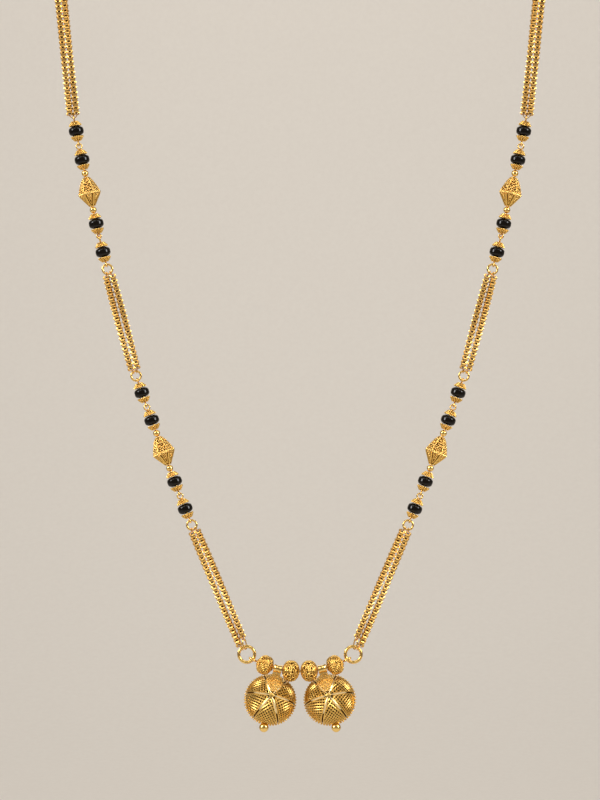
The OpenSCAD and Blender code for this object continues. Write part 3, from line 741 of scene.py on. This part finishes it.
def bead_point(turned, d, l, power, depth):
    """Points on a superellipsoid along unit directions, x being the bore's axis, sunk by depth below it.

    The directions are first squeezed away from the bore: angle from the axis = 15 + 75 / 90 of itself.
    """
    off = np.degrees(np.arctan2(np.hypot(turned[..., 1], turned[..., 2]), np.abs(turned[..., 0])))
    off = np.radians(15 + off * 75 / 90)
    round_x = np.arctan2(turned[..., 2], turned[..., 1])
    axial, radial = np.cos(off) * np.where(turned[..., 0] < 0, -1, 1), np.sin(off)
    size = ((np.abs(axial) * 2 / l) ** power + (radial * 2 / d) ** power) ** (-1 / power) - depth
    return size[..., None] * xyz(axial, radial * np.cos(round_x), radial * np.sin(round_x))


def around(centres, start, off, turn):
    """Directions at angle off from each centre direction, turned round it by turn from a side square to start."""
    side_a = direction(np.cross(centres, start))
    side_b = np.cross(centres, side_a)
    off, turn = off[..., None], turn[..., None]
    return np.cos(off) * centres + np.sin(off) * (np.cos(turn) * side_a + np.sin(turn) * side_b)


def add_wound_bead(node, form, d, l, power, wires, wire_d, ring_steps, s):
    """Hollow core in dark gold that paints the shade under the wires, wires laid on it and a wire ring round each end
    of its bore, at arc length s on the pendant wire.

    wires holds the wires' paths, and whether each of them ends at its start.
    """
    paths, closed = wires
    core = turned_shape(bead_profile(d / 2 - 0.3, l / 2 - 0.25, bead_through_d / 2, power, 22), 36, "x")
    collars = np.array([
        circle(0.62, (end * (l / 2 - 0.12), 0, 0), (0, 1, 0), (0, 0, 1), ring_steps) for end in (-1, 1)
    ])
    parts = [
        (core, recess_gold), (carry(paths, paths, round_section(wire_d, 6), closed), fused_wire),
        (carry(collars, (1, 0, 0), round_section(0.24, 6), closed=True), fused_wire),
    ]
    add_pair(node, form, [(on_wire(shape, s), finish) for shape, finish in parts])


# Three directions square to each other, and their opposites
coil_centres = np.array([(2, -2, 1), (1, 2, 2), (-2, -1, 2), (-2, 2, -1), (-1, -2, -2), (2, 1, -2)]) / 3
coil_off = (np.arange(5)[:, None] + 0.6) * (wrap_pitch / (outer_bead_d / 2))
rings = around(coil_centres[:, None, None], (0.31, 0.52, 0.79), coil_off, 2 * np.pi * np.arange(44) / 44)
coils = bead_point(rings, outer_bead_d, outer_bead_l, 2.1, wrap_wire_d / 2 + 0.2 * coil_off ** 2).reshape(-1, 44, 3)
add_wound_bead(
    "outer_bead_{}", "wrapped", outer_bead_d, outer_bead_l, 2.1, (coils, True), wrap_wire_d, 44,
    bail_s + bail_l / 2 + bow_gap + outer_bead_l / 2,
)

# The flattened inner beads
# The same kind of core, covered all over with small curls of the same wire, laid close and fused.
inner_bead_d = 5.0
inner_bead_l = bail_s - bail_l / 2 - 2 * bow_gap
curl_wire_d = 0.3
curls = 30
# Directions spread evenly over a ball: equal steps in x, and the golden angle round it
spread_x = 1 - 2 * (np.arange(curls) + 0.5) / curls
spread_a = np.arange(curls) * np.pi * (3 - 5 ** 0.5)
spread = round_axis(np.sqrt(1 - spread_x ** 2), spread_a, spread_x)[:, [2, 0, 1]]
curl_t = np.linspace(0, 1, 34)
hand = np.where(np.arange(curls) % 2, 1, -1)[:, None]
curl_turn = hand * 2 * np.pi * 1.8 * curl_t + 2.4 * np.arange(curls)[:, None]
curl_off = 0.07 + 0.4 * curl_t
curl_dirs = around(spread[:, None], (0.48, -0.6, 0.64), curl_off, curl_turn)
curl_paths = bead_point(curl_dirs, inner_bead_d, inner_bead_l, 2.2, curl_wire_d / 2 + 0.35 * curl_off ** 2)
add_wound_bead(
    "inner_bead_{}", "curled", inner_bead_d, inner_bead_l, 2.2, (curl_paths, False), curl_wire_d, 34,
    bow_gap + inner_bead_l / 2,
)

# The two cups
# Each is a dome raised from gold sheet and covered with six fields of crossed wires that meet in narrow grooves.
# Six bright-cut leaves stand round the pole. A granulated shield, a tube on a neck, a rim of granules and a
# polished ball are soldered on.
field_r = 5.74
sheet_r = 5.45
cup_gauze_pitch = 0.66
cup_gauze_d = 0.27
shortest_wire = 0.5
# From the line between two fields to the ends of their wires, and to the frame wires beside it
field_edge = 0.32
frame_off = 0.3
cup_tip_up = np.radians(17)
cup_behind = 2.58
# Leaves cut with a polished graver: even facets that catch the light together, in a paler gold that paints a highlight
# on them
bright_cut = gold_finish("22k_gold_bright_cut_painted_highlight", "#FFEEC0", "#FFE2A2", (0.3, 0.4), 0.6, 0.001)


def dome_point(r, turn, polar):
    """Point at radius r: turn about the pole from +x towards +z, and polar away from the pole at -y, in degrees."""
    turn, polar = np.radians(turn), np.radians(polar)
    return xyz(r * np.sin(polar) * np.cos(turn), -r * np.cos(polar), r * np.sin(polar) * np.sin(turn))


# Ground of the dome: a closed sheet, from just beside the pole to the rim and back on its inside, in dark gold that
# paints the shade between the wires
sheet_polar = np.radians(np.linspace(0.3, 89.5, 40))
sheet_outline = np.concatenate([
    sheet_r * np.stack([np.sin(sheet_polar), np.cos(sheet_polar)], -1)[::-1],
    (sheet_r - 0.2) * np.stack([np.sin(sheet_polar), np.cos(sheet_polar)], -1),
])
dome_sheet, sheet_blocks = turned_shape(sheet_outline, 120)
dome_sheet = (dome_sheet[:, [0, 2, 1]] * (1, -1, 1), sheet_blocks)

# Lie of each field's upper wires in degrees, and how far its lower wires lie beneath them in mm
field_lie = (130, 80, 20, 168, 45, 38)
field_step = (0.04, 0.1, 0.14, 0.12, 0.04, 0.14)
# Each field's wires are straight in the flattened dome, where a point lies at polar * radius from the pole. A wire
# is cut off by the field's two sides and by the rim.
gauze_paths = []
reach = field_r * np.radians(86)
for field in range(6):
    for layer in (0, 1):
        lie = np.radians(field_lie[field] + 84 * layer)
        wire_dir = np.array([np.cos(lie), np.sin(lie)])
        wire_off = np.array([-np.sin(lie), np.cos(lie)])
        for k in range(-17, 18):
            base = k * cup_gauze_pitch * wire_off
            half = np.sqrt(max(reach ** 2 - (k * cup_gauze_pitch) ** 2, 0))
            low, high = -half, half
            for edge, s in ((60 * field, 1), (60 * field + 60, -1)):
                normal = s * np.array([-np.sin(np.radians(edge)), np.cos(np.radians(edge))])
                slope, height = wire_dir @ normal, base @ normal - field_edge
                cut = -height / slope
                low, high = (max(low, cut), high) if slope > 0 else (low, min(high, cut))
            if high - low < shortest_wire:
                continue
            flat = base + np.linspace(low, high, 14)[:, None] * wire_dir
            out = np.hypot(flat[:, 0], flat[:, 1])
            turn = np.degrees(np.arctan2(flat[:, 1], flat[:, 0]))
            gauze_paths.append(dome_point(field_r - field_step[field] * layer, turn, np.degrees(out / field_r)))
gauze_paths = np.array(gauze_paths)
gauze = carry(gauze_paths, gauze_paths, round_section(cup_gauze_d, 6))
# Frame wires along both sides of every groove
frame_polar = np.linspace(12, 87, 30)[None]
frame_turn = np.repeat(60 * np.arange(6), 2)[:, None]
frame_aside = np.tile([-1, 1], 6)[:, None] * np.degrees(frame_off / dome_r) / np.sin(np.radians(frame_polar))
frame_paths = dome_point(field_r, frame_turn + frame_aside, frame_polar)
frames = carry(frame_paths, frame_paths, round_section(0.26, 6))
leaf_polar = np.linspace(5, 45, 15)[None]
leaf_turn = 60 * np.arange(6)[:, None]
leaf_paths = dome_point(dome_r - 0.06, leaf_turn, leaf_polar)
leaf_swell = np.sin(np.linspace(0.12, np.pi - 0.12, 15)) ** 0.6
leaf_section = np.array([(1, -0.9), (1, 0.3), (0, 0.95), (-1, 0.3), (-1, -0.9)])
leaves = carry(leaf_paths, leaf_paths, 0.25 * leaf_swell[:, None, None] * leaf_section)
shield_low, shield_ear, shield_top = (0.645, 0.944), (2.15, 3.55), (1.18, 4.484)
shield_z = np.linspace(shield_low[1], shield_top[1], 25)[:, None]
shield_heights = [shield_low[1], shield_ear[1], shield_top[1]]
shield_half = np.interp(shield_z, shield_heights, [shield_low[0], shield_ear[0], shield_top[0]])
shield_x = shield_half * np.linspace(-1, 1, 21)


def plate(front, back):
    """Closed plate between two equal grids of points, with walls round its edge; front faces -y."""
    rows, columns = front.shape[:2]
    index = np.arange(rows * columns).reshape(rows, columns)
    cells = np.stack([index[:-1, :-1], index[:-1, 1:], index[1:, 1:], index[1:, :-1]], -1).reshape(-1, 4)
    rim = np.concatenate([index[0, :-1], index[:-1, -1], index[-1, :0:-1], index[:0:-1, 0]])
    ahead_rim = np.roll(rim, -1)
    walls = np.stack([ahead_rim, rim, rim + rows * columns, ahead_rim + rows * columns], -1)
    points = np.concatenate([front.reshape(-1, 3), back.reshape(-1, 3)])
    return points, [cells, cells[:, ::-1] + rows * columns, walls]


def over_dome(x, z, r):
    """Points in front of (x, z) on a ball of radius r."""
    return xyz(x, -np.sqrt(r * r - x * x - z * z), z)


shield = plate(over_dome(shield_x, shield_z, dome_r + 0.06), over_dome(shield_x, shield_z, sheet_r - 0.05))


def scattered(half_at, low, high, pitch):
    """Granule places (x, z) in staggered rows with some jitter, over the width given by half_at(z)."""
    rows = []
    for n, z in enumerate(np.arange(low, high, pitch * 0.87)):
        half = half_at(z)
        x = np.arange(-half + pitch / 2 * (n % 2), half + 0.01, pitch)
        rows.append(np.stack([x, np.full(len(x), z)], -1))
    spots = np.concatenate(rows)
    return spots + chance.uniform(-0.22, 0.22, spots.shape) * pitch


spots = scattered(lambda z: np.interp(z, shield_heights, [0.5, 2.0, 1.1]), 1.05, 4.45, 0.44)
shield_grains = grains(over_dome(spots[:, 0], spots[:, 1], dome_r + 0.12), chance.uniform(0.34, 0.46, len(spots)))
rim_steps = 56
rim_grains = grains(dome_point(dome_r - 0.03, 360 * np.arange(rim_steps) / rim_steps, 90), 0.5, 8)
rim_rings = np.array([
    circle(r, (0, y, 0), (1, 0, 0), (0, 0, -1), 120) for r, y in ((dome_r - 0.2, -0.36), (dome_r - 0.3, 0.04))
])
pole_disc = turned_shape([(0.02, -0.3), (0.62, -0.3), (0.62, -0.12), (0.5, -0.06), (0.02, -0.04)], 24)
pole_disc = (pole_disc[0][:, [0, 2, 1]] * (1, -1, 1) - (0, field_r, 0), pole_disc[1])
rim_wires = carry(rim_rings, (0, -1, 0), round_section(0.24, 8), closed=True)
end_ball_r = 1.1
end_ball_z = -6.604
ball_polar = np.radians(np.linspace(3, 177, 30))
end_ball_path = xyz(0, 0, end_ball_z - end_ball_r * np.cos(ball_polar))
end_ball = carry(end_ball_path[None], (0, 1, 0), round_section(2 * end_ball_r * np.sin(ball_polar), 48))


def on_dome(shape):
    """Shape from the dome's frame to the tube's: its pole is tipped upwards, and it goes behind and below the tube."""
    (points, blocks), c, s = shape, np.cos(cup_tip_up), np.sin(cup_tip_up)
    x, y, z = points.T
    return xyz(x, c * y + s * z, c * z - s * y) + (0, cup_behind, -cup_drop), blocks


# Tube with a slight rim at each end, and a neck plate that spreads to the dome
tube_r = 1.025
tube_half = bail_l / 2
tube_profile = [
    (0.35, -tube_half), (tube_r - 0.07, -tube_half), (tube_r, -tube_half + 0.05), (tube_r, -tube_half + 0.2),
    (tube_r - 0.12, -tube_half + 0.34), (tube_r - 0.15, 0), (tube_r - 0.12, tube_half - 0.34),
    (tube_r, tube_half - 0.2), (tube_r, tube_half - 0.05), (tube_r - 0.07, tube_half), (0.35, tube_half),
]
bail_tube = turned_shape(tube_profile, 48, "x")
neck_z = np.array([-2.75, -2.45, -2.29, -2.1, -1.85, -1.6, -1.2, -0.75])[:, None]
neck_half = np.interp(neck_z, [-2.75, -2.29, -1.85, -1.5], [1.83, 1.8, 1.2, 0.92])
neck_x = neck_half * np.linspace(-1, 1, 13)
neck = plate(xyz(neck_x, -0.45, neck_z), xyz(neck_x, 0.45, neck_z))
neck_spots = scattered(lambda z: np.interp(z, [-2.4, -1.9, -1.5, -0.9], [1.6, 1.2, 0.8, 0.75]), -2.4, -0.95, 0.44)
neck_grains = grains(xyz(neck_spots[:, 0], -0.46, neck_spots[:, 1]), chance.uniform(0.34, 0.46, len(neck_spots)))
# The dome's sheet is in the dark gold of painted shade
dome_parts = [
    (dome_sheet, recess_gold), (gauze, fused_wire), (frames, fused_wire), (leaves, bright_cut),
    (shield, stippled_gold), (shield_grains, fused_wire), (rim_wires, fused_wire), (rim_grains, tumbled_wire),
    (pole_disc, fused_wire), (end_ball, burnished),
]
cup_parts = [(on_dome(shape), finish) for shape, finish in dome_parts]
cup_parts += [(bail_tube, burnished), (neck, stippled_gold), (neck_grains, fused_wire)]
for side, s in (("left", -1), ("right", 1)):
    parts = [(on_wire(shape, s * bail_s), finish) for shape, finish in cup_parts]
    add_piece(f"cup_{side}", "filigree", parts, f"cup_{side}", sharp=50)

# Floor and backdrop
# One sheet of matt pale paper, laid flat and curved up into a wall 2 m behind the necklace, which leaves room to
# look at it from behind.
# Uncoated paper: matt, with a faint mottle about 4 mm wide
paper, paper_surface, _ = mottled("matt_pale_paper", 250.0, 4.0, "#E6E0D7", "#E0D9D0")
paper_surface.inputs["Roughness"].default_value = 0.9
# Profile: 3.3 m of floor, a quarter circle of 0.7 m, and 1.4 m of wall
floor_z, bend_r, wall_y = -0.45, 0.7, 2.1
bend_a = np.radians(np.linspace(0, 90, 24))
profile_y = np.concatenate([[-1.9], wall_y - bend_r + bend_r * np.sin(bend_a), [wall_y]])
profile_z = floor_z + np.concatenate([[0], bend_r * (1 - np.cos(bend_a)), [2.1]])
sweep_x = np.array([-2.0, 2.0])
sweep_points = xyz(sweep_x[:, None], profile_y, profile_z).reshape(-1, 3)
n = len(profile_y)
sweep_faces = [(i, i + n, i + n + 1, i + 1) for i in range(n - 1)]
sweep_mesh = bpy.data.meshes.new("paper_sweep")
sweep_mesh.from_pydata(sweep_points.tolist(), [], sweep_faces)
sweep_mesh.materials.append(paper)
sweep_mesh.shade_smooth()
sweep = bpy.data.objects.new("paper_sweep", sweep_mesh)
bpy.context.scene.collection.objects.link(sweep)

# Lights and camera
# Two softboxes at the sides and two at the top leave dark gaps between their reflections. A soft light from behind
# shows the necklace's back, and one more washes the wall.


def softbox(name, place, aim, size, power, spread=180):
    """Rectangular light at place that faces aim: size in metres, power in watts, its grid's spread in degrees."""
    light = bpy.data.lights.new(name, "AREA")
    light.shape = "RECTANGLE"
    light.size, light.size_y = size
    light.energy = power
    light.spread = np.radians(spread)
    lamp = bpy.data.objects.new(name, light)
    bpy.context.scene.collection.objects.link(lamp)
    lamp.location = place
    ray = direction(np.array(aim, float) - np.array(place))
    lamp.rotation_euler = (np.arccos(-ray[2]), 0, np.arctan2(ray[1], ray[0]) - np.pi / 2)


middle = (0, -0.11, -0.14)
for side, s, power, top_power in (("left", -1, 2.6, 1.5), ("right", 1, 2.4, 1.4)):
    softbox(f"softbox_{side}", (s * 0.8, -0.55, 0.2), middle, (0.35, 0.45), power, 120)
    softbox(f"softbox_top_{side}", (s * 0.45, -0.7, 0.8), middle, (0.6, 0.6), top_power, 140)
softbox("softbox_back", (0, 1.1, 0.9), middle, (1.2, 0.6), 2.2, 140)
softbox("backdrop_wash", (0, 1.2, 0.8), (0, 2.1, -0.1), (1.8, 0.6), 9.5)
world = bpy.data.worlds.new("pale_room")
world.use_nodes = True
world.node_tree.nodes["Background"].inputs["Color"].default_value = linear("#B8B2AA")
world.node_tree.nodes["Background"].inputs["Strength"].default_value = 0.55
bpy.context.scene.world = world
# Plain display colours keep the gold as warm as in the photograph
bpy.context.scene.view_settings.view_transform = "Standard"

# The photograph's view: straight on, level with the middle of the frame, through a long lens
camera_data = bpy.data.cameras.new("camera")
camera_data.lens = 135
camera_data.sensor_width = 36
camera_data.clip_start, camera_data.clip_end = 0.01, 20
camera = bpy.data.objects.new("camera", camera_data)
bpy.context.scene.collection.objects.link(camera)
camera.location = (0, -0.8, -0.15107)
camera.rotation_euler = (np.pi / 2, 0, 0)
bpy.context.scene.camera = camera
